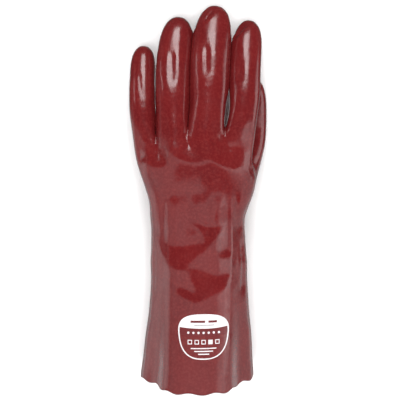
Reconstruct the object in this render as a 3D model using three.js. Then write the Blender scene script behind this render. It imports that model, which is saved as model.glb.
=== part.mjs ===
// PVC coated work glove: a long gauntlet for the left hand, lying palm down with its back up.
// One dipped shell, hollow from the hem to the fingertips, with a printed panel on the cuff.
// Millimetres. +X is the thumb side, +Y points to the fingertips, +Z is up, the floor is z = 0.
import * as THREE from "three";

// Driving dimensions.
const WALL = 1.6; // coating and its fabric carrier together
const CUFF_LENGTH = 153; // hem to wrist
const PALM_LENGTH = 84; // wrist to the crotch beside the middle finger
const CUFF_WIDTH = 108; // at the hem
const CUFF_HEIGHT = 86; // at the hem
const CUFF_SHIFT = 1.6; // the cuff's middle halfway up, from the middle of the hem
const WRIST_WIDTH = 88;
const WRIST_HEIGHT = 57;
const WRIST_RISE = 3; // floor to the wrist's underside
const WRIST_SHIFT = 0.5; // the wrist's middle, from the middle of the hem
const PALM_THICK = 36; // back to palm at the knuckles
const KNUCKLE_RISE = 28; // floor to the palm under the knuckles
const KNUCKLE_ROLL = 7; // how far the little finger's side lies lower
const KNUCKLE_SHIFT = -2.2; // the knuckle row's middle, from the middle of the hem
const FINGER_WIDTH = 34.5; // the middle finger, where it is widest
const FINGER_LENGTH = 118; // the middle finger, from the knuckle row to the tip
const TIP_RISE = 0.36; // height of a fingertip's middle, as a share of the finger's thickness
const CURL = 1.9; // how late a finger bends down to the floor
const FINGER_GAP = 0.9; // between two fingers where they are widest
const WEB_REACH = 7; // how far a crotch stands ahead of the knuckle row
const WEB_VALLEY = 5; // depth of the valley between two knuckles
const THUMB_WIDTH = 27;
const THUMB_THICK = 24;
const THUMB_LENGTH = 91; // from the middle of its root to its tip, along Y
const THUMB_OUT = 7; // its middle, outside the edge of the wrist
const THENAR_BULGE = 14; // the ball of the thumb, outside the line from wrist to knuckles
const SCALLOP_COUNT = 16;
const SCALLOP_DEPTH = 2;
const GROOVE_DEPTH = 9; // the two long side folds, at the hem
const PRINT_WIDTH = 45;
const PRINT_HEIGHT = 40;
const PRINT_THICK = 0.4;
const PRINT_GAP = 0.5; // between the shell and the print
const PRINT_FROM_HEM = 52; // hem to the print's middle
const PRINT_SHIFT = 6; // the print's middle, from the middle of the hem
const PRINT_SQUARENESS = 3.2;
const PRINT_SPOKES = 48;
const PRINT_RINGS = 7;

// Fingers from the thumb side on. wide and long are shares of FINGER_WIDTH and FINGER_LENGTH; root is the
// share of its width at the knuckle and thick the share of its width that is its thickness; web and arch
// are shares of PALM_LENGTH and PALM_THICK, for where the crotch beyond it lies and how high its knuckle
// stands; lean is how far its tip stands to the thumb side, as a share of its width; blunt shapes the tip.
const FINGERS = [
  { wide: 0.812, root: 0.97, thick: 0.76, long: 0.932, web: -0.03, arch: 0, lean: 0.17, blunt: 0.56 },
  { wide: 1, root: 0.96, thick: 0.68, long: 1, web: 0, arch: 0.05, lean: 0.18, blunt: 0.54 },
  { wide: 0.913, root: 0.9, thick: 0.72, long: 0.932, web: -0.1, arch: 0.02, lean: 0.2, blunt: 0.54 },
  { wide: 0.681, root: 0.81, thick: 0.86, long: 0.805, web: -0.25, arch: -0.06, lean: 0.05, blunt: 0.62 },
];
const INDEX_SIDE_BACK = -0.12; // the knuckle row's thumb-side end, as a share of PALM_LENGTH

// Cuff sections from the hem up. along is the share of CUFF_LENGTH; wide and high say how far the
// section has gone from the wrist's size (0) to the hem's (1); fold is the share of GROOVE_DEPTH.
const CUFF_ROWS = [
  { along: 0, wide: 1, high: 1, fold: 1 },
  { along: 0.026, wide: 0.98, high: 0.98, fold: 1 },
  { along: 0.075, wide: 0.9, high: 0.94, fold: 0.97 },
  { along: 0.13, wide: 0.8, high: 0.89, fold: 0.92 },
  { along: 0.185, wide: 0.74, high: 0.83, fold: 0.85 },
  { along: 0.245, wide: 0.66, high: 0.76, fold: 0.76 },
  { along: 0.305, wide: 0.56, high: 0.69, fold: 0.67 },
  { along: 0.365, wide: 0.43, high: 0.62, fold: 0.58 },
  { along: 0.42, wide: 0.34, high: 0.56, fold: 0.5 },
  { along: 0.475, wide: 0.27, high: 0.5, fold: 0.42 },
  { along: 0.53, wide: 0.2, high: 0.44, fold: 0.35 },
  { along: 0.58, wide: 0.15, high: 0.38, fold: 0.29 },
  { along: 0.63, wide: 0.13, high: 0.33, fold: 0.24 },
  { along: 0.68, wide: 0.13, high: 0.28, fold: 0.2 },
  { along: 0.73, wide: 0.12, high: 0.23, fold: 0.16 },
  { along: 0.78, wide: 0.07, high: 0.17, fold: 0.13 },
  { along: 0.825, wide: 0.03, high: 0.12, fold: 0.11 },
  { along: 0.87, wide: 0, high: 0.08, fold: 0.09 },
  { along: 0.915, wide: -0.03, high: 0.04, fold: 0.08 },
  { along: 0.96, wide: -0.03, high: 0.01, fold: 0.07 },
];

// Hand sections from the wrist to the knuckle row. spread says how far the section has gone from the
// wrist's size (0) to the knuckles' (1), slim the same for its thickness, ball the share of THENAR_BULGE.
const PALM_ROWS = [
  { along: 0, spread: 0, slim: 0, lift: 0, ball: 0 },
  { along: 0.11, spread: 0.02, slim: 0.05, lift: 0.03, ball: 0.12 },
  { along: 0.22, spread: 0.05, slim: 0.14, lift: 0.09, ball: 0.36 },
  { along: 0.33, spread: 0.13, slim: 0.27, lift: 0.2, ball: 0.68 },
  { along: 0.44, spread: 0.26, slim: 0.42, lift: 0.36, ball: 0.88 },
  { along: 0.55, spread: 0.39, slim: 0.57, lift: 0.56, ball: 0.76 },
  { along: 0.66, spread: 0.54, slim: 0.71, lift: 0.76, ball: 0.4 },
  { along: 0.78, spread: 0.71, slim: 0.84, lift: 0.92, ball: 0.1 },
  { along: 0.89, spread: 0.87, slim: 0.94, lift: 0.98, ball: 0 },
  { along: 1, spread: 1, slim: 1, lift: 1, ball: 0 },
];

// Finger width and thickness along the finger, as shares of its greatest width and thickness.
const FINGER_ROWS = [
  { along: 0.09, wide: 0.93, thick: 1.02 },
  { along: 0.17, wide: 0.92, thick: 1 },
  { along: 0.25, wide: 0.935, thick: 0.98 },
  { along: 0.34, wide: 0.975, thick: 0.97 },
  { along: 0.43, wide: 0.99, thick: 0.97 },
  { along: 0.52, wide: 1, thick: 0.98 },
  { along: 0.61, wide: 1, thick: 1 },
  { along: 0.7, wide: 0.99, thick: 0.99 },
  { along: 0.78, wide: 0.96, thick: 0.96 },
  { along: 0.85, wide: 0.89, thick: 0.9 },
  { along: 0.91, wide: 0.77, thick: 0.8 },
  { along: 0.955, wide: 0.6, thick: 0.62 },
];
const ROOT_FADE = [1, 0.6, 0.28, 0.09, 0.02]; // how much of its root's outline each first ring keeps

// The ring of the hand and cuff: the back, the little finger's side, the palm and the thumb's side.
const TOP_STEPS = 16;
const SIDE_STEPS = 4;
const RING = 2 * (TOP_STEPS + SIDE_STEPS);
const FINGER_STEPS = TOP_STEPS / FINGERS.length;
const CORNER = 0.3; // radians from the section's widest point to the end of the back
const SQUARENESS = 2.15; // the exponent of the superellipse
const HAND_WAIST = 0.45; // the height of a section's widest point, as a share of its own height
const CUFF_WAIST = 0.3; // the same at the hem
const WRIST_GROOVE = 0.06; // the share of GROOVE_DEPTH that is left at the wrist
const SMOOTHING = 0.55; // the share of a full step to its neighbours' middle that a point takes
const GROOVE_ANGLE = 0.62; // radians above the section's widest point
const GROOVE_SPAN = 0.3;
const FINGER_RING = 4 * FINGER_STEPS;

const WRIST_Y = CUFF_LENGTH;
const WEB_Y = WRIST_Y + PALM_LENGTH;

// A fold's reach to each side of its line, and how far it stands out or sinks in.
const FOLD_REACH = 10;
const FOLD_RISE = 2;

// Buckles of the wrist and creases of the back, as straight ridges (rise over 0) and furrows.
// across is a share of half the wrist's width and up a share of CUFF_LENGTH from the wrist to the hem;
// reach and rise are shares of FOLD_REACH and FOLD_RISE.
const FOLDS = [
  { across: [0.48, 0.15], up: [-0.01, 0.09], reach: 0.9, rise: -0.7 },
  { across: [0.15, -0.48], up: [0.09, 0.12], reach: 1, rise: -0.75 },
  { across: [-0.48, -0.85], up: [0.12, 0.08], reach: 1, rise: -0.75 },
  { across: [0.58, 0.03], up: [0.055, 0.145], reach: 0.9, rise: 0.75 },
  { across: [0.03, -0.22], up: [0.145, 0.23], reach: 0.9, rise: 0.75 },
  { across: [-0.22, -0.75], up: [0.23, 0.24], reach: 1, rise: 0.7 },
  { across: [-0.13, 0.68], up: [0.25, 0.315], reach: 1, rise: -0.9 },
  { across: [-0.58, -0.13], up: [0.33, 0.385], reach: 0.9, rise: -0.75 },
  { across: [0.64, -0.05], up: [0.395, 0.42], reach: 1, rise: 0.75 },
  { across: [-0.13, -0.55], up: [0.445, 0.4], reach: 0.8, rise: 0.6 },
  { across: [-0.95, -0.37], up: [-0.38, -0.35], reach: 0.9, rise: -0.5 },
  { across: [-0.37, -0.05], up: [-0.35, -0.17], reach: 0.9, rise: -0.5 },
];

// Dents of single fingers: along the finger, round it in radians from the thumb side, and how deep.
const DENTS = [
  { finger: 1, along: 0.94, round: 2.3, long: 0.05, wide: 0.4, deep: 0.16 },
  { finger: 0, along: 0.93, round: 2.3, long: 0.05, wide: 0.4, deep: 0.16 },
  { finger: 1, along: 0.5, round: 1.9, long: 0.12, wide: 0.4, deep: 0.07 },
  { finger: 0, along: 0.55, round: 2.1, long: 0.1, wide: 0.4, deep: 0.07 },
  { finger: 2, along: 0.55, round: 1.7, long: 0.12, wide: 0.5, deep: 0.07 },
  { finger: 3, along: 0.5, round: 1.6, long: 0.14, wide: 0.5, deep: 0.05 },
];

const { lerp, clamp } = THREE.MathUtils;
const signedPower = (value, power) => Math.sign(value) * Math.abs(value) ** power;
const bell = (x) => Math.exp(-x * x);

// The angle of ring point i, where 0 is the thumb side and a quarter turn is the back.
function ringAngle(i) {
  const k = ((i % RING) + RING) % RING;
  const half = TOP_STEPS + SIDE_STEPS;
  const turn = k < half ? 0 : Math.PI;
  const step = k % half;
  if (step <= TOP_STEPS) return turn + lerp(CORNER, Math.PI - CORNER, step / TOP_STEPS);
  return turn + lerp(Math.PI - CORNER, Math.PI + CORNER, (step - TOP_STEPS) / SIDE_STEPS);
}

// Where the widths of the fingers put the boundaries between them, from the thumb side to the other.
const rootWidths = FINGERS.map((f) => FINGER_WIDTH * f.wide * f.root);
const knuckleWidth = rootWidths.reduce((sum, w) => sum + w, 0);
const boundaries = [KNUCKLE_SHIFT + knuckleWidth / 2];
rootWidths.forEach((w, k) => boundaries.push(boundaries[k] - w));

// One section of the cuff or hand as a function of the angle round it.
function section({ left, right, bottom, top, waist, groove }) {
  const middle = (left + right) / 2;
  const half = (right - left) / 2;
  const widest = lerp(bottom, top, waist);
  return (angle) => {
    const s = Math.sin(angle);
    const p = new THREE.Vector2(
      middle + half * signedPower(Math.cos(angle), 2 / SQUARENESS),
      widest + (s > 0 ? top - widest : widest - bottom) * signedPower(s, 2 / SQUARENESS),
    );
    // A long fold on each side draws the wall in, between the side and the back.
    const pull = groove * bell((Math.asin(clamp(s, -1, 1)) - GROOVE_ANGLE) / GROOVE_SPAN);
    p.x -= 0.66 * pull * Math.sign(Math.cos(angle));
    p.y -= 0.75 * pull;
    return p;
  };
}

function cuffSection(row) {
  const width = lerp(WRIST_WIDTH, CUFF_WIDTH, row.wide);
  const shift = lerp(WRIST_SHIFT, 0, row.wide) + CUFF_SHIFT * Math.sin(Math.PI * row.along);
  return section({
    left: shift - width / 2,
    right: shift + width / 2,
    bottom: lerp(WRIST_RISE, -WRIST_RISE, clamp(row.high * 3, 0, 1)),
    top: WRIST_RISE + lerp(WRIST_HEIGHT, CUFF_HEIGHT - WRIST_RISE, row.high),
    waist: lerp(HAND_WAIST, CUFF_WAIST, row.fold),
    groove: GROOVE_DEPTH * row.fold,
  });
}

function palmSection(row) {
  const left = lerp(WRIST_SHIFT - WRIST_WIDTH / 2, boundaries[FINGERS.length], row.spread);
  const right = lerp(WRIST_SHIFT + WRIST_WIDTH / 2, boundaries[0], row.spread);
  const bottom = lerp(WRIST_RISE, KNUCKLE_RISE, row.lift);
  return section({
    left,
    right: right + THENAR_BULGE * row.ball,
    bottom,
    top: bottom + lerp(WRIST_HEIGHT, PALM_THICK, row.slim),
    waist: HAND_WAIST,
    groove: GROOVE_DEPTH * WRIST_GROOVE * (1 - row.spread),
  });
}

// The share of the way across the back, from the thumb side (0) to the other side (1), of point i.
function acrossBack(i) {
  if (i <= TOP_STEPS) return i / TOP_STEPS;
  if (i < TOP_STEPS + SIDE_STEPS) return 1;
  if (i <= RING - SIDE_STEPS) return 1 - (i - TOP_STEPS - SIDE_STEPS) / TOP_STEPS;
  return 0;
}

// A smooth line through evenly spaced values.
function smoothLine(values, share) {
  const curve = new THREE.CatmullRomCurve3(values.map((v) => new THREE.Vector3(0, v, 0)));
  return curve.getPoint(clamp(share, 0, 1)).y;
}

const crotchShares = [INDEX_SIDE_BACK, ...FINGERS.map((f) => f.web)];

// Where the crotches lie across the hand, and how the row of knuckles leans to the little finger.
const crotchY = (across) => WEB_Y + PALM_LENGTH * smoothLine(crotchShares, across);
const rollAt = (x) => (KNUCKLE_ROLL * (x - boundaries[0])) / knuckleWidth;

// How much higher than the row's own height a knuckle stands.
const archShares = [-0.05, ...FINGERS.slice(0, 3).map((f) => f.arch), -0.08];
const archAt = (across) => PALM_THICK * smoothLine(archShares, across);

class Shell {
  constructor() {
    this.points = [];
    this.faces = [];
  }

  add(x, y, z) {
    this.points.push(new THREE.Vector3(x, y, z));
    return this.points.length - 1;
  }

  // Quads between two rings of point numbers, faces out when the second ring lies ahead.
  bridge(near, far) {
    near.forEach((point, i) => {
      const n = (i + 1) % near.length;
      this.faces.push([point, far[i], far[n], near[n]]);
    });
  }

  // A ring with twice the points below a coarser one.
  bridgeHalf(fine, coarse) {
    coarse.forEach((point, i) => {
      const next = coarse[(i + 1) % coarse.length];
      const [a, b, c] = [fine[2 * i], fine[2 * i + 1], fine[(2 * i + 2) % fine.length]];
      this.faces.push([a, point, b], [b, point, next], [b, next, c]);
    });
  }
}

const shell = new Shell();

// Cuff rings. The two nearest the hem have twice the points, for the scallops.
const scallop = (turn) => (SCALLOP_DEPTH * (1 - Math.cos(2 * Math.PI * SCALLOP_COUNT * turn))) / 2;
function cuffRing(row, fine, scalloped) {
  const at = cuffSection(row);
  const count = fine ? 2 * RING : RING;
  return Array.from({ length: count }, (_, i) => {
    const step = (i * RING) / count;
    const angle = lerp(ringAngle(Math.floor(step)), ringAngle(Math.floor(step)) + stepTurn(step), step % 1);
    const p = at(angle);
    return shell.add(p.x, row.along * CUFF_LENGTH + (scalloped ? scallop(i / count) : 0), p.y);
  });
}
function stepTurn(step) {
  const here = ringAngle(Math.floor(step));
  const next = ringAngle(Math.floor(step) + 1);
  return next > here ? next - here : next + 2 * Math.PI - here;
}

const hem = cuffRing(CUFF_ROWS[0], true, true);
const aboveHem = cuffRing(CUFF_ROWS[1], true, false);
shell.bridge(hem, aboveHem);
let last = cuffRing(CUFF_ROWS[2], false, false);
shell.bridgeHalf(aboveHem, last);
for (const row of CUFF_ROWS.slice(3)) {
  const ring = cuffRing(row, false, false);
  shell.bridge(last, ring);
  last = ring;
}

// Hand rings. The thumb's hole takes HOLE_STEPS steps along and as many round, at the thumb's side.
const HOLE_FROM = 3;
const HOLE_STEPS = FINGER_STEPS;
const HOLE_COLUMN = RING - SIDE_STEPS - HOLE_STEPS / 2;
const valleyAt = (i) => (1 + Math.cos((2 * Math.PI * acrossBack(i) * TOP_STEPS) / FINGER_STEPS)) / 2;
const handRings = [];
for (const row of PALM_ROWS) {
  const at = palmSection(row);
  handRings.push(
    Array.from({ length: RING }, (_, i) => {
      const p = at(ringAngle(i));
      const across = acrossBack(i);
      const onBack = i > 0 && i < TOP_STEPS;
      const onPalm = i > TOP_STEPS + SIDE_STEPS && i < RING - SIDE_STEPS;
      // The lobes of the knuckles come up over the last third of the hand.
      const lobes = clamp((row.along - 0.6) / 0.4, 0, 1) ** 1.5;
      const finger = Math.min(FINGERS.length - 1, Math.floor(across * FINGERS.length));
      const level = lerp(boundaries[finger], boundaries[finger + 1], across * FINGERS.length - finger);
      if (onBack || onPalm) p.x = lerp(p.x, level, lobes);
      if (onBack) p.y -= WEB_VALLEY * lobes * valleyAt(i);
      if (onPalm) p.y += 0.6 * WEB_VALLEY * lobes * valleyAt(i);
      p.y += row.spread * (rollAt(p.x) + archAt(across));
      const end = crotchY(across) - WEB_REACH;
      return shell.add(p.x, WRIST_Y + row.along * (end - WRIST_Y), p.y);
    }),
  );
}
shell.bridge(last, handRings[0]);
for (let j = 0; j + 1 < handRings.length; j++) {
  for (let i = 0; i < RING; i++) {
    const inRows = j >= HOLE_FROM && j < HOLE_FROM + HOLE_STEPS;
    if (inRows && i >= HOLE_COLUMN && i < HOLE_COLUMN + HOLE_STEPS) continue;
    const n = (i + 1) % RING;
    shell.faces.push([handRings[j][i], handRings[j + 1][i], handRings[j + 1][n], handRings[j][n]]);
  }
}
const knuckles = handRings[handRings.length - 1];

// A crotch between two fingers: three points from the back's edge down to the palm's.
function webColumn(k) {
  const top = shell.points[knuckles[k * FINGER_STEPS]];
  const base = shell.points[knuckles[RING - SIDE_STEPS - k * FINGER_STEPS]];
  return [1, 2, 3].map((step) => {
    const share = step / 4;
    const ahead = WEB_REACH * Math.sin(Math.PI * share) ** 0.6;
    return shell.add(boundaries[k], lerp(top.y, base.y, share) + ahead, lerp(top.z, base.z, share));
  });
}
const webs = [1, 2, 3].map(webColumn); // between fingers 0 and 1, 1 and 2, 2 and 3

// Finger k's root, as ring points from the thumb-side end of its back, over the back and round.
function fingerRoot(k) {
  const back = knuckles.slice(k * FINGER_STEPS, (k + 1) * FINGER_STEPS + 1);
  const far = k < 3 ? webs[k] : knuckles.slice(TOP_STEPS + 1, TOP_STEPS + SIDE_STEPS);
  const palmEnd = RING - SIDE_STEPS - k * FINGER_STEPS;
  const palm = knuckles.slice(palmEnd - FINGER_STEPS, palmEnd + 1);
  const near = k > 0 ? [...webs[k - 1]].reverse() : knuckles.slice(RING - SIDE_STEPS + 1);
  return [...back, ...far, ...palm, ...near];
}

// The shape across a finger or the thumb, at one of its ring's angles.
function roundPoint(angle, width, thick) {
  return new THREE.Vector2(
    (width / 2) * signedPower(Math.cos(angle), 2 / SQUARENESS),
    (thick / 2) * signedPower(Math.sin(angle), 2 / SQUARENESS),
  );
}
const fingerAngle = (q) => Math.PI / 4 + (q * 2 * Math.PI) / FINGER_RING;

// A finger or thumb: rings along a centre line, then a cap of four by four quads.
// sizes(share) gives width and thickness; side(tangent) is the direction that angle 0 points in.
function digit({ root, line, side, sizes, rows, dents }) {
  const frameAt = (share) => {
    const tangent = line.getTangentAt(share);
    const up = new THREE.Vector3().crossVectors(side(tangent), tangent).normalize();
    const right = new THREE.Vector3().crossVectors(tangent, up);
    return { centre: line.getPointAt(share), up, right, tangent };
  };
  const place = (share, angle, size) => {
    const f = frameAt(share);
    const p = roundPoint(angle, size.width, size.thick);
    return f.centre.addScaledVector(f.right, p.x).addScaledVector(f.up, p.y);
  };
  const start = sizes(rows[0]);
  const offsets = root.map((point, q) => shell.points[point].clone().sub(place(0, fingerAngle(q), start)));
  let near = root;
  rows.forEach((share, m) => {
    const size = sizes(share);
    const keep = ROOT_FADE[m + 1] ?? 0;
    const ring = root.map((_, q) => {
      const angle = fingerAngle(q);
      const dent = dents.reduce((sum, d) => {
        const turn = Math.atan2(Math.sin(angle - d.round), Math.cos(angle - d.round));
        return sum + d.deep * bell((share - d.along) / d.long) * bell(turn / d.wide);
      }, 0);
      const p = place(share, angle, { width: size.width * (1 - dent), thick: size.thick * (1 - dent) });
      p.addScaledVector(offsets[q], keep);
      return shell.add(p.x, p.y, p.z);
    });
    shell.bridge(near, ring);
    near = ring;
  });
  // The cap: the last ring is the edge of a grid, domed out to the tip.
  const tip = line.getPointAt(1);
  const base = frameAt(rows[rows.length - 1]);
  const size = sizes(rows[rows.length - 1]);
  const reach = tip.clone().sub(base.centre);
  const gridPoint = (a, b) => {
    const u = a * Math.sqrt(1 - (b * b) / 2);
    const v = b * Math.sqrt(1 - (a * a) / 2);
    const dome = Math.sqrt(Math.max(0, 1 - u * u - v * v));
    return base.centre
      .clone()
      .addScaledVector(base.right, (u * size.width) / 2)
      .addScaledVector(base.up, (v * size.thick) / 2)
      .addScaledVector(reach, dome);
  };
  const inner = [-0.5, 0, 0.5].map((b) =>
    [0.5, 0, -0.5].map((a) => {
      const p = gridPoint(a, b);
      return shell.add(p.x, p.y, p.z);
    }),
  );
  // Grid rows from the palm's side (0) to the back (4), columns from the thumb's side (0).
  const grid = Array.from({ length: 5 }, (_, r) =>
    Array.from({ length: 5 }, (_, c) => {
      if (r === FINGER_STEPS) return near[c];
      if (c === FINGER_STEPS) return near[2 * FINGER_STEPS - r];
      if (r === 0) return near[3 * FINGER_STEPS - c];
      if (c === 0) return near[(3 * FINGER_STEPS + r) % FINGER_RING];
      return inner[r - 1][c - 1];
    }),
  );
  for (let r = 0; r < FINGER_STEPS; r++) {
    for (let c = 0; c < FINGER_STEPS; c++) {
      shell.faces.push([grid[r][c], grid[r][c + 1], grid[r + 1][c + 1], grid[r + 1][c]]);
    }
  }
}

// Values of a table's column between its rows.
function column(rows, name, share) {
  const k = rows.findIndex((r) => r.along >= share);
  if (k <= 0) return rows[k < 0 ? rows.length - 1 : 0][name];
  const [a, b] = [rows[k - 1], rows[k]];
  return lerp(a[name], b[name], (share - a.along) / (b.along - a.along));
}

// Where the fingers lie side by side at their widest, with the gap between them.
const fingerWidths = FINGERS.map((f) => FINGER_WIDTH * f.wide);
const wideRow = fingerWidths.reduce((sum, width) => sum + width + FINGER_GAP, -FINGER_GAP);
let edge = KNUCKLE_SHIFT + wideRow / 2;
const wideMiddles = fingerWidths.map((width) => {
  const middle = edge - width / 2;
  edge -= width + FINGER_GAP;
  return middle;
});

FINGERS.forEach((finger, k) => {
  const root = fingerRoot(k);
  const middle = new THREE.Vector3();
  root.forEach((point) => middle.addScaledVector(shell.points[point], 1 / root.length));
  const width = fingerWidths[k];
  const thick = width * finger.thick;
  const curl = (share) => lerp(middle.z, TIP_RISE * thick, share ** CURL);
  const xAt = (share) => {
    const tip = wideMiddles[k] + finger.lean * width;
    return share < 0.5
      ? lerp(middle.x, wideMiddles[k], Math.sin(Math.PI * share))
      : lerp(wideMiddles[k], tip, (2 * share - 1) ** 1.6);
  };
  const reach = crotchY((k + 0.5) / 4) - WEB_REACH + FINGER_LENGTH * finger.long - middle.y;
  const line = new THREE.CatmullRomCurve3(
    [0, 0.14, 0.28, 0.42, 0.56, 0.7, 0.82, 0.92, 1].map(
      (share) => new THREE.Vector3(xAt(share), middle.y + share * reach, curl(share)),
    ),
  );
  digit({
    root,
    line,
    side: () => new THREE.Vector3(1, 0, 0),
    rows: FINGER_ROWS.map((r) => r.along),
    dents: DENTS.filter((d) => d.finger === k),
    sizes: (share) => {
      const tipShare = clamp((share - 0.7) / 0.3, 0, 1);
      const full = 1 + (finger.blunt - 0.5) * tipShare;
      return {
        width: width * full * column(FINGER_ROWS, "wide", share),
        thick: thick * full * column(FINGER_ROWS, "thick", share),
      };
    },
  });
});

// The thumb leaves the hole at the side of the hand and lies forward, under the index finger.
const holeRing = [];
const [holeEnd, holeTop] = [HOLE_FROM + HOLE_STEPS, HOLE_COLUMN + HOLE_STEPS];
for (let s = 0; s < HOLE_STEPS; s++) holeRing.push(handRings[HOLE_FROM + s][holeTop]);
for (let s = 0; s < HOLE_STEPS; s++) holeRing.push(handRings[holeEnd][holeTop - s]);
for (let s = 0; s < HOLE_STEPS; s++) holeRing.push(handRings[holeEnd - s][HOLE_COLUMN]);
for (let s = 0; s < HOLE_STEPS; s++) holeRing.push(handRings[HOLE_FROM][HOLE_COLUMN + s]);
const holeMiddle = new THREE.Vector3();
holeRing.forEach((point) => holeMiddle.addScaledVector(shell.points[point], 1 / holeRing.length));
const thumbX = WRIST_SHIFT + WRIST_WIDTH / 2 + THUMB_OUT;
const thumbZ = THUMB_THICK / 2;
const thumbAt = (share, along, drop) =>
  new THREE.Vector3(
    lerp(holeMiddle.x, thumbX, share),
    holeMiddle.y + along * THUMB_LENGTH,
    lerp(holeMiddle.z, thumbZ, drop),
  );
const thumbLine = new THREE.CatmullRomCurve3([
  holeMiddle,
  thumbAt(0.35, 0.12, 0.3),
  thumbAt(0.62, 0.26, 0.66),
  thumbAt(0.88, 0.44, 0.95),
  thumbAt(1, 0.62, 1),
  thumbAt(1.05, 0.82, 0.98),
  thumbAt(0.98, 1, 1.1),
]);
digit({
  root: holeRing,
  line: thumbLine,
  side: (tangent) => new THREE.Vector3().crossVectors(tangent, new THREE.Vector3(0, 0, 1)),
  rows: FINGER_ROWS.map((r) => r.along),
  dents: [],
  sizes: (share) => ({
    width: THUMB_WIDTH * column(FINGER_ROWS, "wide", share),
    thick: THUMB_THICK * column(FINGER_ROWS, "thick", share),
  }),
});

// The skin is drawn smooth where the thumb and the fingers leave the hand: each point there moves
// towards the middle of its neighbours, less and less with the distance from the root.
function relax(middle, reach, rounds) {
  const share = shell.points.map((p) => SMOOTHING * bell(p.distanceTo(middle) / reach));
  const near = shell.points.map((_, i) => (share[i] > 0.01 ? new Set() : null));
  for (const face of shell.faces) {
    face.forEach((point, i) => {
      near[point]?.add(face[(i + 1) % face.length]);
      near[point]?.add(face[(i + face.length - 1) % face.length]);
    });
  }
  for (let round = 0; round < rounds; round++) {
    const before = shell.points.map((p) => p.clone());
    near.forEach((others, i) => {
      if (!others) return;
      const mean = new THREE.Vector3();
      others.forEach((k) => mean.addScaledVector(before[k], 1 / others.size));
      shell.points[i].lerp(mean, share[i]);
    });
  }
}
relax(holeMiddle, THUMB_WIDTH, 12);
webs.forEach((web) => relax(shell.points[web[1]], WEB_REACH * 1.6, 4));

// Vertex normals of a set of faces, each weighted by its area.
function normalsOf(points, faces) {
  const normals = points.map(() => new THREE.Vector3());
  for (const face of faces) {
    const normal = new THREE.Vector3();
    for (let i = 1; i + 1 < face.length; i++) {
      const a = points[face[i]].clone().sub(points[face[0]]);
      normal.add(a.cross(points[face[i + 1]].clone().sub(points[face[0]])));
    }
    face.forEach((point) => normals[point].add(normal));
  }
  return normals.map((n) => n.normalize());
}

// The buckles move the back's points along their normals.
const segments = FOLDS.map(({ across, up, reach, rise }) => ({
  from: new THREE.Vector2((across[0] * WRIST_WIDTH) / 2 + WRIST_SHIFT, WRIST_Y - up[0] * CUFF_LENGTH),
  to: new THREE.Vector2((across[1] * WRIST_WIDTH) / 2 + WRIST_SHIFT, WRIST_Y - up[1] * CUFF_LENGTH),
  reach: reach * FOLD_REACH,
  rise: rise * FOLD_RISE,
}));
function foldRise(point) {
  const p = new THREE.Vector2(point.x, point.y);
  return segments.reduce((sum, { from, to, reach, rise }) => {
    const run = to.clone().sub(from);
    const share = clamp(p.clone().sub(from).dot(run) / run.lengthSq(), 0, 1);
    const gap = p.distanceTo(from.clone().addScaledVector(run, share));
    const ends = 0.35 + 0.65 * Math.sin(Math.PI * share);
    return sum + rise * ends * Math.max(0, 1 - gap / reach);
  }, 0);
}
const firstNormals = normalsOf(shell.points, shell.faces);
shell.points.forEach((point, i) => {
  const n = firstNormals[i];
  if (n.z > 0) point.addScaledVector(n, foldRise(point) * Math.min(1, 1.6 * n.z));
});

// What would sink into the floor lies flat on it.
shell.points.forEach((point) => (point.z = Math.max(point.z, 0)));

// The inside is the outside moved in by the wall, and a strip closes the hem.
const outward = normalsOf(shell.points, shell.faces);
const inside = shell.points.map((point, i) => {
  const p = point.clone().addScaledVector(outward[i], -WALL);
  p.z = Math.max(p.z, WALL);
  return p;
});
hem.forEach((i) => (inside[i].y = shell.points[i].y));

const corners = [];
const addFace = (points) => {
  for (let i = 1; i + 1 < points.length; i++) corners.push(points[0], points[i], points[i + 1]);
};
for (const face of shell.faces) {
  addFace(face.map((i) => shell.points[i]));
  addFace([...face].reverse().map((i) => inside[i]));
}
hem.forEach((i, k) => {
  const n = hem[(k + 1) % hem.length];
  addFace([shell.points[i], shell.points[n], inside[n], inside[i]]);
});

const shellGeometry = new THREE.BufferGeometry().setFromPoints(corners);
const box = new THREE.Box3().setFromPoints(corners);

// The height of the back above a point of the floor.
function heightAt(x, y) {
  let height = 0;
  for (const face of shell.faces) {
    for (let i = 1; i + 1 < face.length; i++) {
      const [a, b, c] = [shell.points[face[0]], shell.points[face[i]], shell.points[face[i + 1]]];
      const area = (b.x - a.x) * (c.y - a.y) - (c.x - a.x) * (b.y - a.y);
      if (area <= 0) continue;
      const u = ((b.x - x) * (c.y - y) - (c.x - x) * (b.y - y)) / area;
      const v = ((c.x - x) * (a.y - y) - (a.x - x) * (c.y - y)) / area;
      if (u >= 0 && v >= 0 && u + v <= 1) height = Math.max(height, u * a.z + v * b.z + (1 - u - v) * c.z);
    }
  }
  return height;
}

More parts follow.
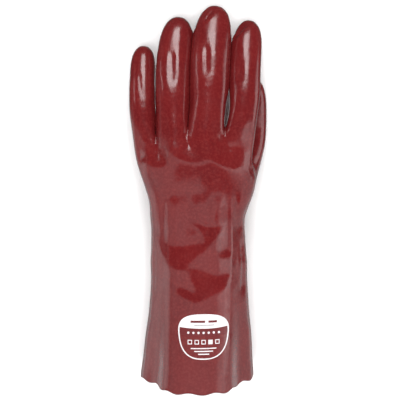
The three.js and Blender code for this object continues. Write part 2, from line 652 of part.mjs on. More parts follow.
// The printed panel: rings of points round its middle, draped over the back of the cuff.
function printPanel() {
  const place = (ring, spoke, rise) => {
    const angle = (2 * Math.PI * spoke) / PRINT_SPOKES;
    const [across, up] = [(2 * Math.cos(angle)) / PRINT_WIDTH, (2 * Math.sin(angle)) / PRINT_HEIGHT];
    const power = PRINT_SQUARENESS;
    const rim = (Math.abs(across) ** power + Math.abs(up) ** power) ** (-1 / power);
    const x = PRINT_SHIFT + (ring / PRINT_RINGS) * rim * Math.cos(angle);
    const y = PRINT_FROM_HEM + (ring / PRINT_RINGS) * rim * Math.sin(angle);
    return new THREE.Vector3(x, y, heightAt(x, y) + rise);
  };
  const layer = (rise) =>
    Array.from({ length: PRINT_RINGS + 1 }, (_, ring) =>
      Array.from({ length: PRINT_SPOKES }, (__, spoke) => place(ring, spoke, rise)),
    );
  const [under, over] = [layer(PRINT_GAP), layer(PRINT_GAP + PRINT_THICK)];
  const points = [];
  for (let i = 0; i < PRINT_SPOKES; i++) {
    const n = (i + 1) % PRINT_SPOKES;
    points.push(over[0][0], over[1][i], over[1][n], under[0][0], under[1][n], under[1][i]);
    for (let ring = 1; ring < PRINT_RINGS; ring++) {
      const [a, b, c, d] = [over[ring][i], over[ring + 1][i], over[ring + 1][n], over[ring][n]];
      points.push(a, b, c, a, c, d);
      const [e, f, g, h] = [under[ring][i], under[ring + 1][i], under[ring + 1][n], under[ring][n]];
      points.push(e, g, f, e, h, g);
    }
    const [low, high] = [under[PRINT_RINGS], over[PRINT_RINGS]];
    points.push(low[i], low[n], high[n], low[i], high[n], high[i]);
  }
  return new THREE.BufferGeometry().setFromPoints(points);
}

// The origin lies on the floor under the middle of the glove's box.
const printGeometry = printPanel();
for (const geometry of [shellGeometry, printGeometry]) {
  geometry.translate(-(box.min.x + box.max.x) / 2, -(box.min.y + box.max.y) / 2, -box.min.z);
  geometry.computeVertexNormals();
}

const pvc = new THREE.MeshStandardMaterial({ color: 0x7c2329, roughness: 0.28, metalness: 0 });
const ink = new THREE.MeshStandardMaterial({ color: 0xe9e4e6, roughness: 0.5, metalness: 0 });
const shellMesh = new THREE.Mesh(shellGeometry, pvc);
shellMesh.name = "glove_shell";
const printMesh = new THREE.Mesh(printGeometry, ink);
printMesh.name = "print_panel";

export const glove = new THREE.Group();
glove.add(shellMesh, printMesh);
export default glove;
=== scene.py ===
"""Looks of the PVC coated gauntlet glove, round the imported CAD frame.

The skin and the print replace the plain solids. A floor, a studio and the photo's camera stand around them.
"""

import math

import bmesh
import bpy
import numpy as np
from mathutils import Matrix, Vector, noise
from mathutils.bvhtree import BVHTree


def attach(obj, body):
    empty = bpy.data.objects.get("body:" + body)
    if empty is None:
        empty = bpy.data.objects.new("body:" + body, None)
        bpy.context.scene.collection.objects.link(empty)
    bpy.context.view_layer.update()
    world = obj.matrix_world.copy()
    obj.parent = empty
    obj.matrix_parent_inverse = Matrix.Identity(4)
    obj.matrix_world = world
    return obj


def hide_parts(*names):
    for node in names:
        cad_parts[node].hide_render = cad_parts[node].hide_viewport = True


MM = 0.001

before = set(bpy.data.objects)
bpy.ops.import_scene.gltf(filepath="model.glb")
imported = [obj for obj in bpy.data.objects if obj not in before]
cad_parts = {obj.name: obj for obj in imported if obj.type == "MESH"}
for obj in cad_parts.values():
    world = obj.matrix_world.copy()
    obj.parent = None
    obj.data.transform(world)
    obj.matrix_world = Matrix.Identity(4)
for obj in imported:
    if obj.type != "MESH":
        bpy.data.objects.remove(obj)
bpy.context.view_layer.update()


def add_object(name, data):
    obj = bpy.data.objects.new(name, data)
    bpy.context.scene.collection.objects.link(obj)
    return obj


def new_material(name):
    mat = bpy.data.materials.new(name)
    mat.use_nodes = True
    tree = mat.node_tree
    tree.nodes.clear()
    out = tree.nodes.new("ShaderNodeOutputMaterial")
    bsdf = tree.nodes.new("ShaderNodeBsdfPrincipled")
    tree.links.new(bsdf.outputs[0], out.inputs[0])
    return mat, tree, bsdf


def node(tree, kind, inputs=None, **settings):
    made = tree.nodes.new(kind)
    for key, value in settings.items():
        setattr(made, key, value)
    for key, value in (inputs or {}).items():
        if isinstance(value, bpy.types.NodeSocket):
            tree.links.new(value, made.inputs[key])
        else:
            made.inputs[key].default_value = value
    return made


def mix_colour(tree, share, a, b):
    """Colour a where share is 0 and b where it is 1; each may be a value or another node's output."""
    made = tree.nodes.new("ShaderNodeMix")
    made.data_type = "RGBA"
    for socket, value in ((made.inputs[0], share), (made.inputs[6], a), (made.inputs[7], b)):
        if isinstance(value, bpy.types.NodeSocket):
            tree.links.new(value, socket)
        else:
            socket.default_value = value
    return made.outputs[2]


def ramp(tree, value, low, high, to_low=0.0, to_high=1.0):
    """The value's stretch from low to high, laid out from to_low to to_high."""
    made = node(tree, "ShaderNodeMapRange", {0: value, 1: low, 2: high, 3: to_low, 4: to_high})
    return made.outputs[0]


def maths(tree, operation, a, b=0.0):
    return node(tree, "ShaderNodeMath", {0: a, 1: b}, operation=operation).outputs[0]


def soft_step(tree, value, low, high):
    """0 at low, 1 at high, smooth between, as a node."""
    made = node(tree, "ShaderNodeMapRange", {0: value, 1: low, 2: high}, interpolation_type="SMOOTHSTEP")
    return made.outputs[0]


def object_place(tree):
    return node(tree, "ShaderNodeTexCoord").outputs["Object"]


def cloudy(tree, place, scale, detail, roughness=0.5):
    settings = {"Vector": place, "Scale": scale, "Detail": detail, "Roughness": roughness}
    return node(tree, "ShaderNodeTexNoise", settings).outputs["Fac"]


def bumped(tree, height, strength, depth, normal=None):
    """A normal that the height bends; depth is in mm."""
    settings = {"Strength": strength, "Distance": depth * MM, "Height": height}
    if normal is not None:
        settings["Normal"] = normal
    return node(tree, "ShaderNodeBump", settings).outputs[0]


def glow_material(name, value):
    """A plain grey glow for what only the camera or only reflections see."""
    mat = bpy.data.materials.new(name)
    mat.use_nodes = True
    tree = mat.node_tree
    tree.nodes.clear()
    out = tree.nodes.new("ShaderNodeOutputMaterial")
    glow = node(tree, "ShaderNodeEmission", {"Color": (value, value, value, 1), "Strength": 1.0})
    tree.links.new(glow.outputs[0], out.inputs[0])
    return mat


# The PVC's colours: in its deep and its light clouds, and in its specks.
PVC_DEEP = (0.110, 0.0070, 0.0085, 1)
PVC_LIGHT = (0.146, 0.0105, 0.0115, 1)
PVC_SPECKS = (0.190, 0.022, 0.020, 1)
# The knitted inside's colours: between the loops, on the loops and in the stains.
KNIT_DEEP = (0.56, 0.50, 0.44, 1)
KNIT_LIGHT = (0.74, 0.69, 0.62, 1)
KNIT_STAINS = (0.55, 0.38, 0.34, 1)
# The hem edge's two colours; on the outside's faces next to the rim they are painted shade of the rounded
# edge.
EDGE_DARK = (0.075, 0.010, 0.012, 1)
EDGE_LIGHT = (0.16, 0.03, 0.03, 1)


def pvc_material():
    """Dipped PVC: deep red, glossy, a little uneven, with the fabric's grain just showing through."""
    mat, tree, bsdf = new_material("pvc_red")
    place = object_place(tree)
    cloud = cloudy(tree, place, scale=28.0, detail=4.0, roughness=0.55)
    speck = cloudy(tree, place, scale=420.0, detail=3.0, roughness=0.6)
    clouds = ramp(tree, cloud, 0.3, 0.7)
    tone = mix_colour(tree, clouds, PVC_DEEP, PVC_LIGHT)
    specks = ramp(tree, speck, 0.45, 0.7, 0.0, 0.6)
    tone = mix_colour(tree, specks, tone, PVC_SPECKS)
    tree.links.new(tone, bsdf.inputs["Base Color"])
    haze = cloudy(tree, place, scale=95.0, detail=5.0, roughness=0.65)
    tree.links.new(ramp(tree, haze, 0.35, 0.7, 0.13, 0.27), bsdf.inputs["Roughness"])
    bsdf.inputs["IOR"].default_value = 1.5
    wave = cloudy(tree, place, scale=150.0, detail=2.0)
    waves = bumped(tree, wave, strength=0.5, depth=0.35)
    normal = bumped(tree, speck, strength=0.3, depth=0.06, normal=waves)
    tree.links.new(normal, bsdf.inputs["Normal"])
    return mat


def lining_material():
    """The knitted cotton carrier inside: off-white loops in rows."""
    mat, tree, bsdf = new_material("cotton_inside")
    place = object_place(tree)
    loops = node(
        tree,
        "ShaderNodeTexWave",
        {"Vector": place, "Scale": 160.0, "Distortion": 1.5, "Detail": 2.0, "Detail Scale": 1.5},
        wave_type="BANDS",
        bands_direction="X",
    )
    rows = node(
        tree,
        "ShaderNodeTexWave",
        {"Vector": place, "Scale": 120.0, "Distortion": 1.0, "Detail": 2.0},
        wave_type="BANDS",
        bands_direction="Y",
    )
    knit = maths(tree, "MULTIPLY", loops.outputs["Fac"], rows.outputs["Fac"])
    tone = mix_colour(tree, knit, KNIT_DEEP, KNIT_LIGHT)
    stains = ramp(tree, cloudy(tree, place, scale=40.0, detail=3.0), 0.45, 0.8, 0.0, 0.4)
    tone = mix_colour(tree, stains, tone, KNIT_STAINS)
    tree.links.new(tone, bsdf.inputs["Base Color"])
    bsdf.inputs["Roughness"].default_value = 0.9
    tree.links.new(bumped(tree, knit, strength=0.6, depth=0.3), bsdf.inputs["Normal"])
    return mat


def rim_and_edge_shade_material():
    """The cut edge of the hem: coating over cloth. Its dark colour also lies as painted shade on the
    outside's faces next to the rim.
    """
    mat, tree, bsdf = new_material("hem_edge_and_painted_shade")
    place = object_place(tree)
    grain = cloudy(tree, place, scale=700.0, detail=3.0)
    tone = mix_colour(tree, ramp(tree, grain, 0.35, 0.7), EDGE_DARK, EDGE_LIGHT)
    tree.links.new(tone, bsdf.inputs["Base Color"])
    bsdf.inputs["Roughness"].default_value = 0.55
    tree.links.new(bumped(tree, grain, strength=0.5, depth=0.2), bsdf.inputs["Normal"])
    return mat


# The skin's material slots.
OUTSIDE, INSIDE, RIM = 0, 1, 2

# Points this close are welded, and two triangles within these angles join to a quad. A face of the rim lies
# this near the hem and faces this far to its side. The edges between two slots are this sharp.
WELD_DISTANCE = 0.002 * MM
QUAD_FACE_ANGLE = math.radians(50)
QUAD_SHAPE_ANGLE = math.radians(70)
HEM_SCALLOPS = 3.4 * MM
RIM_FACING = -0.7
RIM_CREASE = 0.75


def cage_of(name):
    """The CAD solid as a cage of quads, with its outside, its inside and the hem's rim told apart."""
    bm = bmesh.new()
    bm.from_mesh(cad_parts[name].data)
    bmesh.ops.remove_doubles(bm, verts=bm.verts, dist=WELD_DISTANCE)
    bmesh.ops.join_triangles(
        bm, faces=bm.faces, angle_face_threshold=QUAD_FACE_ANGLE, angle_shape_threshold=QUAD_SHAPE_ANGLE
    )
    bm.normal_update()
    hem = min(v.co.y for v in bm.verts)
    for face in bm.faces:
        at_hem = all(v.co.y < hem + HEM_SCALLOPS for v in face.verts)
        face.material_index = RIM if at_hem and face.normal.y < RIM_FACING else INSIDE
    first = max(bm.faces, key=lambda f: f.calc_center_median().z)
    first.material_index = OUTSIDE
    front = [first]
    while front:
        face = front.pop()
        for edge in face.edges:
            for other in edge.link_faces:
                if other.material_index == INSIDE:
                    other.material_index = OUTSIDE
                    front.append(other)
    crease = bm.edges.layers.float.new("crease_edge")
    for edge in bm.edges:
        if len({f.material_index for f in edge.link_faces}) == 2:
            edge[crease] = RIM_CREASE
    mesh = bpy.data.meshes.new("glove_cage")
    bm.to_mesh(mesh)
    print("cage", len(bm.faces), "faces,", sum(len(f.verts) == 4 for f in bm.faces), "quads")
    bm.free()
    return mesh


def coords(mesh):
    co = np.empty(len(mesh.vertices) * 3)
    mesh.vertices.foreach_get("co", co)
    return co.reshape(-1, 3)


def set_coords(mesh, co):
    mesh.vertices.foreach_set("co", np.ascontiguousarray(co).ravel())
    mesh.update()


def vertex_normals(mesh):
    n = np.empty(len(mesh.vertices) * 3)
    mesh.vertex_normals.foreach_get("vector", n)
    return n.reshape(-1, 3)


# Levels of the smooth skin, the passes that fit its cage, and the share of the gap that a pass takes off.
SMOOTH_LEVELS = 2
SMOOTH_PASSES = 3
PASS_SHARE = 0.8


def smooth_skin(cage):
    """Subdivides the cage; each pass first moves its points so that the smooth skin runs through them."""
    obj = add_object("glove_skin", cage)
    sub = obj.modifiers.new("smooth", "SUBSURF")
    sub.levels = sub.render_levels = 1
    wanted = coords(cage).copy()
    count = len(wanted)
    for _ in range(SMOOTH_PASSES):
        graph = bpy.context.evaluated_depsgraph_get()
        limit = coords(obj.evaluated_get(graph).data)[:count]
        set_coords(cage, coords(cage) + PASS_SHARE * (wanted - limit))
        obj.update_tag()
        bpy.context.view_layer.update()
    sub.levels = sub.render_levels = SMOOTH_LEVELS
    graph = bpy.context.evaluated_depsgraph_get()
    made = bpy.data.meshes.new_from_object(obj.evaluated_get(graph), depsgraph=graph)
    off = np.linalg.norm(coords(made)[:count] - wanted, axis=1)
    print("skin", len(made.polygons), "faces; cage points off by", round(off.max() / MM, 2), "mm at most")
    obj.modifiers.clear()
    obj.data = made
    made.name = "glove_skin"
    return obj


# Fine folds of the back: points of a line in mm, how far the fold reaches to each side, and its rise.
FINE_FOLDS = (
    # pinched fingertips
    (((5.5, 160), (9, 165.5), (14, 171)), 1.5, -1.5),
    (((32, 143), (38, 151), (45, 158.5)), 1.5, -1.5),
    (((-28, 160), (-25.5, 153)), 1.6, -0.6),
    # flattened finger backs
    (((7.5, 140), (7, 113)), 3.4, -0.75),
    (((2.5, 134), (4, 116)), 1.8, 0.35),
    (((-24.5, 136), (-24, 102)), 4.2, -0.75),
    (((37.5, 126), (37, 106)), 3.2, -0.6),
    (((31, 114), (38, 111)), 1.3, -0.35),
    (((32, 108.5), (38.5, 106)), 1.3, -0.35),
    (((-54, 114), (-52.5, 97)), 2.2, -0.35),
    # crotches running out on to the back
    (((-38, 56), (-38, 48), (-36.5, 40)), 2.6, -1.1),
    (((-41.5, 50), (-41, 43)), 1.8, 0.4),
    (((-12, 62), (-10, 54), (-8, 47)), 2.6, -1.1),
    (((-6, 56), (-4.5, 50)), 1.8, 0.45),
    (((18, 60), (25, 52), (28.5, 44)), 2.4, -0.9),
    (((8.5, 58), (17, 50), (31, 44)), 2.4, -0.55),
    # the thumb's ball and the long side folds
    (((47, 30), (50, 20), (48, 10)), 2.5, -0.7),
    (((44, 24), (46, 14)), 2.0, -0.5),
    (((40, -36), (42, -62), (41, -92)), 3.2, -1.0),
    (((-41, -40), (-41, -70), (-42, -96)), 3.2, -0.8),
)


# Buckled faces of the wrist that lean towards the fingers, as outlines in mm, with their slope, how far
# their edges blur, and the slopes that the surface between them keeps to.
FACETS = (
    (
        (-9, -19), (-1, -21), (7, -24), (21, -24), (17, -32), (9, -43), (3, -49), (-8, -58), (-9.5, -64),
        (-24, -63), (-30, -56), (-34, -47), (-37, -38), (-24, -43), (-12, -42), (3, -39.5), (7, -38),
        (6, -32), (-1, -25),
    ),
    (
        (-8, -60), (6, -65), (17, -69), (29, -67), (29, -75), (23, -81), (11, -87), (2, -91), (-4, -91),
        (-16, -87.5), (-21, -83), (-18, -78), (-4, -83), (-3, -78), (-9, -69),
    ),
    ((17, -47), (28, -45), (30, -52), (20, -52)),
    ((-42, -64), (-37, -62), (-38, -80), (-42, -82)),
)
FACET_SLOPE = -0.33
FACET_BLUR = 1.1
CALM_SLOPES = (-0.10, 0.07)
# Windows in mm: where a change starts, is whole, is still whole and ends.
FACETS_ALONG = (-112, -98, -6, 8)
FACETS_ACROSS = (-40, -32, 32, 40)
CREST_ALONG = (22, 28, 39, 45)
CREST_ACROSS = (-50, -38, 30, 42)
CREST_LIFT_ALONG = (8, 22, 45, 55)
# How much steeper the two sides of the knuckles' crest get, the slope at which a side has all of that, and
# the blur with which the slope is read.
CREST_STEEPER = 0.13
CREST_SLOPE = 0.05
CREST_BLUR = 2.5
# A lift keeps only what changes within this many mm, so that the glove's large form stays.
LIFT_REACH = 14
# The stretch of the back that is read as heights, from and to across and along in mm, and the grid's step.
BACK_ACROSS = (-56, 56)
BACK_ALONG = (-124, 62)
GRID_STEP = 1.0
# A point past the grid's edge is read this far, in cells, before the grid's end.
GRID_END = 1.001
# Rays start this high in m, above everything.
ABOVE_ALL = 0.3


def blurred(grid, sigma):
    """The grid smoothed both ways; sigma is in cells."""
    reach = int(3 * sigma) + 1
    bell = np.exp(-0.5 * (np.arange(-reach, reach + 1) / sigma) ** 2)
    bell /= bell.sum()
    for axis in (0, 1):
        pad = [(reach, reach) if k == axis else (0, 0) for k in (0, 1)]
        wide = np.pad(grid, pad, mode="edge")
        grid = np.apply_along_axis(np.convolve, axis, wide, bell, "valid")
    return grid


def tree_of(mesh):
    points = [v.co.copy() for v in mesh.vertices]
    return BVHTree.FromPolygons(points, [tuple(p.vertices) for p in mesh.polygons])


def back_heights(mesh, xs, ys):
    """Heights in mm of the glove's back over a grid, and where the grid meets the glove at all."""
    tree = tree_of(mesh)
    top = np.full((len(ys), len(xs)), np.nan)
    for i, y in enumerate(ys):
        for j, x in enumerate(xs):
            hit = tree.ray_cast(Vector((x * MM, y * MM, ABOVE_ALL)), Vector((0, 0, -1)))[0]
            if hit is not None:
                top[i, j] = hit.z / MM
    found = np.isfinite(top)
    return np.where(found, top, 0), found


def inside_facets(gx, gy):
    """1 inside the facets' outlines, 0 outside them, with softened edges."""
    inside = np.zeros(gx.shape, bool)
    for outline in FACETS:
        within = np.zeros(gx.shape, bool)
        for (ax, ay), (bx, by) in zip(outline, outline[1:] + outline[:1]):
            if ay != by:
                crosses = (ay > gy) != (by > gy)
                within ^= crosses & (gx < ax + (gy - ay) * (bx - ax) / (by - ay))
        inside |= within
    return blurred(inside.astype(float), FACET_BLUR)


def lift_of(change):
    """Lift in mm that gives a grid this change of slope along the glove."""
    lift = np.cumsum(change, axis=0) * GRID_STEP
    return lift - blurred(lift, LIFT_REACH)


def between_cells(grid, xs, ys, xy):
    """The grid's values at the points, read between its cells."""
    u = np.clip((xy[:, 0] / MM - xs[0]) / GRID_STEP, 0, len(xs) - GRID_END)
    v = np.clip((xy[:, 1] / MM - ys[0]) / GRID_STEP, 0, len(ys) - GRID_END)
    i = v.astype(int)
    j = u.astype(int)
    a = v - i
    b = u - j
    return (
        grid[i, j] * (1 - a) * (1 - b)
        + grid[i + 1, j] * a * (1 - b)
        + grid[i, j + 1] * (1 - a) * b
        + grid[i + 1, j + 1] * a * b
    )


def back_lift(mesh, xy):
    """Lift in m that gives the wrist leaning faces with calm ones between, and the knuckles a crest."""
    xs = np.arange(BACK_ACROSS[0], BACK_ACROSS[1] + GRID_STEP / 2, GRID_STEP)
    ys = np.arange(BACK_ALONG[0], BACK_ALONG[1] + GRID_STEP / 2, GRID_STEP)
    gx, gy = np.meshgrid(xs, ys)
    top, found = back_heights(mesh, xs, ys)
    slope = np.gradient(top, GRID_STEP, axis=0)
    inside = inside_facets(gx, gy)
    wanted = inside * FACET_SLOPE + (1 - inside) * np.clip(slope, *CALM_SLOPES)
    reach = window(gy, *FACETS_ALONG) * window(gx, *FACETS_ACROSS)
    lift = lift_of(np.where(found, wanted - slope, 0) * reach) * reach
    crest = window(gy, *CREST_ALONG) * window(gx, *CREST_ACROSS)
    steeper = CREST_STEEPER * np.clip(blurred(slope, CREST_BLUR) / CREST_SLOPE, -1, 1) * crest
    lift += lift_of(np.where(found, steeper, 0)) * window(gy, *CREST_LIFT_ALONG)
    print("the back is lifted by", round(lift.min(), 2), "to", round(lift.max(), 2), "mm")
    return MM * between_cells(lift, xs, ys, xy)


def soft(value, low, high):
    """0 at low, 1 at high, smooth between."""
    share = np.clip((value - low) / (high - low), 0, 1)
    return share * share * (3 - 2 * share)


def window(value, start, whole, still, end):
    """0 outside start and end, 1 from whole to still."""
    return soft(value, start, whole) * soft(value, end, still)


def along_fold(xy, path):
    """Distance from the points to a line of points, and the share of the line's length passed."""
    path = np.array(path, float) * MM
    lengths = np.linalg.norm(np.diff(path, axis=0), axis=1)
    total, done = lengths.sum(), 0.0
    best = np.full(len(xy), np.inf)
    share = np.zeros(len(xy))
    for a, b, length in zip(path[:-1], path[1:], lengths):
        t = np.clip((xy - a) @ (b - a) / length**2, 0, 1)
        gap = np.linalg.norm(xy - a - t[:, None] * (b - a), axis=1)
        nearer = gap < best
        best[nearer] = gap[nearer]
        share[nearer] = (done + t[nearer] * length) / total
        done += length
    return best, share


# The swells of the hand-dipped wall: height and width in mm, and a shift that sets one kind off the other.
SWELLS = (
    (0.11, 17, Vector((0, 0, 0))),
    (0.07, 6, Vector((3, 5, 7))),
)


def unevenness(co):
    """Height in mm of the wall's slow swells at each point."""
    total = np.zeros(len(co))
    for height, width, shift in SWELLS:
        total += [height * noise.noise(Vector(c) / (width * MM) + shift) for c in co]
    return total


# How quickly a fold comes in at its ends, what is left of it there, and how sharply it ends sideways.
FOLD_ENDS = 1.8
FOLD_END_SHARE = 0.12
FOLD_FALL = 1.6
# How far up the skin faces where the back's changes begin, and over what stretch they come in.
BACK_FACING = 0.02
BACK_FACING_STRETCH = 0.3


def add_folds(mesh, inner):
    """Moves the back of the skin, both faces of its wall alike, by the folds, the swells and the lift."""
    co = coords(mesh)
    out = vertex_normals(mesh)
    out[inner] *= -1
    rise = unevenness(co)
    for path, reach, height in FINE_FOLDS:
        gap, share = along_fold(co[:, :2], path)
        ends = np.clip(np.sin(np.pi * share) * FOLD_ENDS + FOLD_END_SHARE, 0, 1)
        rise += height * ends * np.exp(-((gap / (reach * MM)) ** 2) * FOLD_FALL)
    fade = np.clip((out[:, 2] - BACK_FACING) / BACK_FACING_STRETCH, 0, 1)
    lift = back_lift(mesh, co[:, :2]) * fade
    co = co + out * (rise * fade * MM)[:, None]
    co[:, 2] += lift
    co[:, 2] = np.maximum(co[:, 2], 0)
    set_coords(mesh, co)


# Where the fingers start along the glove, how far sideways a point must face to be pushed, and how far
# away its neighbour may be.
FINGERS_FROM = 50 * MM
FLANK_FACING = 0.35
NEIGHBOUR_REACH = 7 * MM
CLEAR_OF_START = 0.05 * MM
# Where neighbours begin to lean together and over what length: lower down between the outer fingers than
# between the middle and index fingers, whose gap shows. The sum of two flanks' places tells that pair.
LEAN_FROM = 52 * MM
INDEX_LEAN_FROM = 88 * MM
INDEX_PAIR = (10 * MM, 90 * MM)
LEAN_LENGTH = 14 * MM
# Gaps below the first width close whole, those above the second stay, and each flank goes a trace past the
# middle of the gap.
CLOSED_GAP = 2.2 * MM
KEPT_GAP = 4.6 * MM
TOUCH = 0.12 * MM
# How much a flank faces up where it is still pushed whole, and where it isn't pushed any more.
LOW_FACING = 0.1
HIGH_FACING = 0.5


def lean_fingers(mesh, inner):
    """The full fingers swell until neighbours touch at their widest, the index only above its root."""
    co = coords(mesh)
    out = vertex_normals(mesh)
    tree = tree_of(mesh)
    push = np.zeros(len(co))
    for k in np.flatnonzero(~inner & (co[:, 1] > FINGERS_FROM) & (np.abs(out[:, 0]) > FLANK_FACING)):
        way = math.copysign(1.0, out[k, 0])
        start = Vector(co[k]) + Vector((way * CLEAR_OF_START, 0, 0))
        hit, normal, _, gap = tree.ray_cast(start, Vector((way, 0, 0)), NEIGHBOUR_REACH)
        if hit is None or normal[0] * way > 0:
            continue
        at_index = INDEX_PAIR[0] < co[k, 0] + hit[0] < INDEX_PAIR[1]
        up = np.clip((co[k, 1] - (INDEX_LEAN_FROM if at_index else LEAN_FROM)) / LEAN_LENGTH, 0, 1)
        full = np.clip((KEPT_GAP - gap) / (KEPT_GAP - CLOSED_GAP), 0, 1)
        low = np.clip((HIGH_FACING - out[k, 2]) / (HIGH_FACING - LOW_FACING), 0, 1)
        push[k] = way * up * full * low * (gap / 2 + TOUCH)
    co[:, 0] += push
    set_coords(mesh, co)
    print("fingers lean by", round(np.abs(push).max() / MM, 2), "mm at most, points", int((push != 0).sum()))


def paint_hem_edge_shade(mesh):
    """The outside's faces next to the hem's rim take the rim's dark colour: painted shade of the rounded
    edge.
    """
    rim_points = set()
    for face in mesh.polygons:
        if face.material_index == RIM:
            rim_points.update(face.vertices)
    for face in mesh.polygons:
        if face.material_index == OUTSIDE and rim_points.intersection(face.vertices):
            face.material_index = RIM


def main_skin():
    """The glove's skin, in place of the plain shell."""
    skin = smooth_skin(cage_of("glove_shell"))
    mesh = skin.data
    inner = np.zeros(len(mesh.vertices), bool)
    for face in mesh.polygons:
        if face.material_index == INSIDE:
            inner[list(face.vertices)] = True
    lean_fingers(mesh, inner)
    add_folds(mesh, inner)
    # painted shade: the outside's faces next to the hem's rim take the rim's dark colour
    paint_hem_edge_shade(mesh)
    for mat in (pvc_material(), lining_material(), rim_and_edge_shade_material()):
        mesh.materials.append(mat)
    mesh.polygons.foreach_set("use_smooth", np.ones(len(mesh.polygons), bool))
    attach(skin, "root")
    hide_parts("glove_shell")
    return skin


# The printed panel, in mm: its middle on the back of the cuff, its half sizes, how square its corners are,
# how much wider it gets upwards, and how deep the ink's underside sits in the skin.
PANEL_MIDDLE = (4.6, -122.2)
PANEL_HALF = (22.5, 20.0)
PANEL_POWER = 2.7
PANEL_WIDENING = 0.006
INK_UNDERSIDE = -0.12
# The columns of a bar's points stand this far apart at most, and a bar has this many rows of them.
BAR_COLUMN = 1.2
BAR_ROWS = 3
# How far the outline, the bars and the dots rise from the skin, and how small a dot's inner ring is.
OUTLINE_RISE = 0.14
BAR_RISE = 0.16
DOT_RISE = 0.17
DOT_INNER_RING = 0.05

# The ink's material slots.
WHITE, DARK, GREY = 0, 1, 2

# The outline's lines of points, as shares of the panel's size.
OUTLINE_SCALES = (1.0, 0.975, 0.95)
OUTLINE_TURNS = 120
# Filled parts: low and high edge, scale, dip of the low edge, rows, rise of the ink, and slot.
FILLED_PARTS = (
    (8.2, 19.0, 0.951, 0.9, 10, 0.14, WHITE),
    (1.6, 7.2, 0.945, 0.9, 5, 0.12, DARK),
)
# Bars: middle, width, height, slot and rise.
BARS = (
    (-5.2, 13.4, 13.0, 1.9, DARK, 0.19),
    (8.2, 13.4, 7.6, 1.9, DARK, 0.19),
    (0.6, 10.3, 18.0, 0.8, GREY, 0.19),
    (0, -10.2, 23.0, 0.9, WHITE, BAR_RISE),
    (0, -12.7, 17.0, 0.9, WHITE, BAR_RISE),
    (0, -15.2, 10.0, 0.9, WHITE, BAR_RISE),
)
# The row of dots and the row of boxes: how many, their step, the row's height, their size, the width of a
# box's lines, and which box is filled.
DOTS = 7
DOT_STEP = 4.6
DOT_HEIGHT = 3.6
DOT_RADIUS = 1.05
BOXES = 5
BOX_STEP = 6.2
BOX_HEIGHT = -4.6
BOX_SIDE = 3.9
BOX_LINE = 0.65
FILLED_BOX = 3


class Ink:
    """Thin slabs of ink laid on the skin, gathered in one mesh."""

    def __init__(self, over):
        self.tree = tree_of(over.data)
        self.points = []
        self.faces = []
        self.slots = []

    def on_skin(self, x, y, rise):
        start = Vector(((PANEL_MIDDLE[0] + x) * MM, (PANEL_MIDDLE[1] + y) * MM, ABOVE_ALL))
        hit, normal, _, _ = self.tree.ray_cast(start, Vector((0, 0, -1)))
        return hit + normal * (rise * MM)

    def slab(self, rows, rise, slot, closed=False):
        """rows is a grid of (x, y) in mm from the panel's middle. closed joins its last row to its first."""
        base = len(self.points)
        wide = len(rows[0])
        for height in (rise, INK_UNDERSIDE):
            for row in rows:
                for x, y in row:
                    self.points.append(self.on_skin(x, y, height))
        under = len(rows) * wide
        last = len(rows) if closed else len(rows) - 1

        def at(r, c, low=False):
            return base + (r % len(rows)) * wide + c + (under if low else 0)

        for r in range(last):
            for c in range(wide - 1):
                corners = ((r, c), (r, c + 1), (r + 1, c + 1), (r + 1, c))
                self.add([at(*corner) for corner in corners], slot)
                self.add([at(*corner, True) for corner in corners[::-1]], slot)
            for c, flip in ((0, False), (wide - 1, True)):
                side = (at(r, c), at(r + 1, c), at(r + 1, c, True), at(r, c, True))
                self.add(side[::-1] if flip else side, slot)
        if not closed:
            for r, flip in ((0, True), (last, False)):
                for c in range(wide - 1):
                    side = (at(r, c), at(r, c + 1), at(r, c + 1, True), at(r, c, True))
                    self.add(side[::-1] if flip else side, slot)

    def add(self, face, slot):
        self.faces.append(face)
        self.slots.append(slot)

    def bar(self, x, y, width, height, slot=WHITE, rise=BAR_RISE):
        columns = int(width / BAR_COLUMN) + 2
        rows = []
        for r in range(BAR_ROWS):
            level = y + height * (r / (BAR_ROWS - 1) - 0.5)
            rows.append([(x + width * (c / (columns - 1) - 0.5), level) for c in range(columns)])
        self.slab(rows, rise, slot)


def panel_point(angle, scale):
    """A point on the panel's rounded outline, wider above than below."""
    c, s = math.cos(angle), math.sin(angle)
    x = PANEL_HALF[0] * scale * math.copysign(abs(c) ** (2 / PANEL_POWER), c)
    y = PANEL_HALF[1] * scale * math.copysign(abs(s) ** (2 / PANEL_POWER), s)
    return x * (1 + PANEL_WIDENING * y), y


def panel_half_width(y, scale):
    share = min(1.0, abs(y) / (PANEL_HALF[1] * scale))
    half = PANEL_HALF[0] * scale * (1 - share**PANEL_POWER) ** (1 / PANEL_POWER)
    return half * (1 + PANEL_WIDENING * y)


def filled_part(low, high, scale, dip, rows, columns=30):
    """Rows of points across the panel between two heights; dip bends the low edge down at its middle."""
    grid = []
    for r in range(rows):
        level = low + (high - low) * math.sin(math.pi / 2 * r / (rows - 1))
        half = panel_half_width(level, scale)
        row = []
        for c in range(columns):
            u = 2 * c / (columns - 1) - 1
            bend = dip * (1 - u * u) * (high - level) / (high - low)
            row.append((u * half, level - bend))
        grid.append(row)
    return grid


def ink_material(name, pale, deep, rough):
    """Satin print, a little cloudy, with a fine grain."""
    mat, tree, bsdf = new_material(name)
    place = object_place(tree)
    cloud = cloudy(tree, place, scale=160.0, detail=4.0, roughness=0.6)
    tone = mix_colour(tree, ramp(tree, cloud, 0.35, 0.75), pale, deep)
    tree.links.new(tone, bsdf.inputs["Base Color"])
    tree.links.new(ramp(tree, cloud, 0.3, 0.7, rough, rough + 0.1), bsdf.inputs["Roughness"])
    grain = cloudy(tree, place, scale=1400.0, detail=2.0)
    tree.links.new(bumped(tree, grain, strength=0.35, depth=0.04), bsdf.inputs["Normal"])
    return mat


